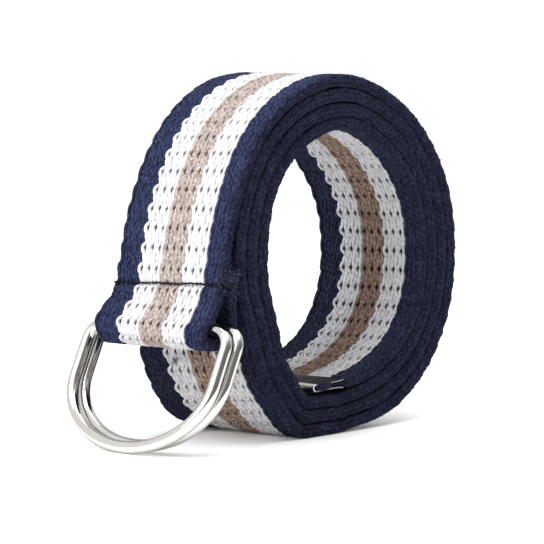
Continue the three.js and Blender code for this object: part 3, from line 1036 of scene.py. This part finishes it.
def ring_outline():
    """Middle line of a D-ring in its own plane: bar at the top, straight legs and a half oval below."""
    half = (RING_WIDTH - WIRE_DIAMETER) / 2
    flat = half - RING_CORNER
    corner = arc(np.array([flat, -RING_CORNER]), RING_CORNER, math.pi / 2, 0)
    turn = np.linspace(0, -math.pi, 160)
    oval = np.stack([half * np.cos(turn), -RING_LEG + (RING_REACH - RING_LEG) * np.sin(turn)], -1)
    mirrored = corner[::-1] * [-1, 1]
    points = np.concatenate([[[0, 0]], corner, oval, mirrored, [[0, 0]]])
    run = run_along(points)
    even = np.linspace(0, run[-1], RING_STATIONS, endpoint=False)
    line = np.stack([np.interp(even, run, points[:, 0]), np.interp(even, run, points[:, 1])], -1)
    softened = (np.roll(line, 1, 0) + 2 * line + np.roll(line, -1, 0)) / 4
    return (np.roll(softened, 1, 0) + 2 * softened + np.roll(softened, -1, 0)) / 4


def d_ring(name, joint, body):
    """A D-ring of round wire that leans outwards from its bar at the joint."""
    bar = np.array(JOINT_AT[joint])
    line = ring_outline()
    tangent = unit(np.roll(line, -1, 0) - np.roll(line, 1, 0))
    outward = np.stack([-tangent[:, 1], tangent[:, 0]], -1)
    sine, cosine = math.sin(RING_LEAN), math.cos(RING_LEAN)
    place = lambda flat: np.stack([flat[:, 1] * sine, flat[:, 0], flat[:, 1] * cosine], -1)
    normal = np.array([cosine, 0.0, -sine])
    angle = 2 * math.pi * np.arange(RING_SIDES) / RING_SIDES
    spread = np.cos(angle)[:, None] * normal + np.sin(angle)[:, None] * place(outward)[:, None]
    vertices = (place(line)[:, None] + spread * WIRE_DIAMETER / 2 + bar).reshape(-1, 3)
    rings = np.arange(len(vertices)).reshape(-1, RING_SIDES)
    quads = skin(rings, np.roll(rings, -1, 0))
    part = (vertices, quads, [], np.zeros((quads.size, 2)))
    piece = make_piece(name, [part], NICKEL, body)
    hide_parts(name.replace("nickel_", ""))


d_ring("nickel_d_ring_front", "ring_front_swing", "ring_front")
d_ring("nickel_d_ring_back", "ring_back_swing", "ring_back")


# Camera, lights and floor

CAMERA_AT = (-0.40945, -0.35594, 0.07432)
CAMERA_YAW = math.radians(41.0)
CAMERA_PITCH = math.radians(3.199)
CAMERA_LENS = 129.66
SENSOR_WIDTH = 36

# Softboxes that face the belt's middle: place, size and power
LIT_MIDDLE = (0, 0, 0.05)
SOFTBOXES = {
    "key": ((-0.75, 0.05, 0.6), 0.7, 9),
    "top": ((0.1, -0.12, 0.95), 0.8, 5.5),
}

# Sky: its bright side, the span from dim to bright as shares of that direction, and its light at both ends
BRIGHT_SIDE = (0.0, 0.93, 0.36)
SKY_SPAN = (-0.65, 0.08)
SKY_LIGHT = (0.22, 1.08)

# Floor: half its width, its shade, and its painted glow by distance from its darkest place, where the least
# glow paints the shadow under the belt
FLOOR_REACH = 8.0
FLOOR_SHADE = 0.76
DARKEST_FLOOR = (-0.012, -0.005, 0)
PAINTED_FLOOR_GLOW = [(0.02, 0.02), (0.055, 0.36), (0.6, 0.5)]


def aim(thing, direction):
    """Turns a camera or light to look along a direction."""
    thing.rotation_mode = "QUATERNION"
    thing.rotation_quaternion = Vector(direction).to_track_quat("-Z", "Y")


def make_camera():
    data = bpy.data.cameras.new("camera")
    data.lens = CAMERA_LENS
    data.sensor_width = SENSOR_WIDTH
    data.clip_start = 0.01
    camera = bpy.data.objects.new("camera", data)
    bpy.context.scene.collection.objects.link(camera)
    camera.location = CAMERA_AT
    level = math.cos(CAMERA_PITCH)
    aim(camera, (math.cos(CAMERA_YAW) * level, math.sin(CAMERA_YAW) * level, -math.sin(CAMERA_PITCH)))
    bpy.context.scene.camera = camera


def softbox(name, location, size, power):
    data = bpy.data.lights.new(name, "AREA")
    data.shape = "RECTANGLE"
    data.size = data.size_y = size
    data.energy = power
    light = bpy.data.objects.new(name, data)
    bpy.context.scene.collection.objects.link(light)
    light.location = location
    aim(light, Vector(LIT_MIDDLE) - Vector(location))


def make_floor():
    """A wide pale floor with a painted glow that grows a little with distance from the belt, up to the pale
    sky, and is least under it.
    """
    graph = Graph("pale_floor")
    place = graph.add("ShaderNodeTexCoord").outputs["Object"]
    away = graph.vector("LENGTH", graph.vector("SUBTRACT", place, DARKEST_FLOOR)[0])["Value"]
    glow = graph.ramp(away, [(distance, (light, light, light)) for distance, light in PAINTED_FLOOR_GLOW])
    material = graph.surface({
        "Base Color": (FLOOR_SHADE, FLOOR_SHADE, FLOOR_SHADE, 1), "Roughness": 0.9, "Specular IOR Level": 0.0,
        "Emission Color": (1, 1, 1, 1), "Emission Strength": glow,
    })
    corners = [(x * FLOOR_REACH, y * FLOOR_REACH, 0) for x, y in ((-1, -1), (1, -1), (1, 1), (-1, 1))]
    mesh = bpy.data.meshes.new("floor")
    mesh.from_pydata(corners, [], [(0, 1, 2, 3)])
    floor = bpy.data.objects.new("floor", mesh)
    bpy.context.scene.collection.objects.link(floor)
    mesh.materials.append(material)


def make_world():
    """A white sky that is dim on one side and bright on the other."""
    world = bpy.data.worlds.new("studio")
    bpy.context.scene.world = world
    world.use_nodes = True
    tree = world.node_tree
    tree.nodes["Background"].inputs["Color"].default_value = (1, 1, 1, 1)
    direction = tree.nodes.new("ShaderNodeTexCoord").outputs["Generated"]
    turned = tree.nodes.new("ShaderNodeVectorMath")
    turned.operation = "DOT_PRODUCT"
    tree.links.new(direction, turned.inputs[0])
    turned.inputs[1].default_value = BRIGHT_SIDE
    shade = tree.nodes.new("ShaderNodeMapRange")
    shade.interpolation_type = "SMOOTHSTEP"
    tree.links.new(turned.outputs["Value"], shade.inputs["Value"])
    for key, value in zip(("From Min", "From Max", "To Min", "To Max"), SKY_SPAN + SKY_LIGHT):
        shade.inputs[key].default_value = value
    tree.links.new(shade.outputs[0], tree.nodes["Background"].inputs["Strength"])


make_camera()
make_floor()
make_world()
for light_name, (light_at, light_size, light_power) in SOFTBOXES.items():
    softbox(light_name, light_at, light_size, light_power)
bpy.context.scene.view_settings.view_transform = "Standard"
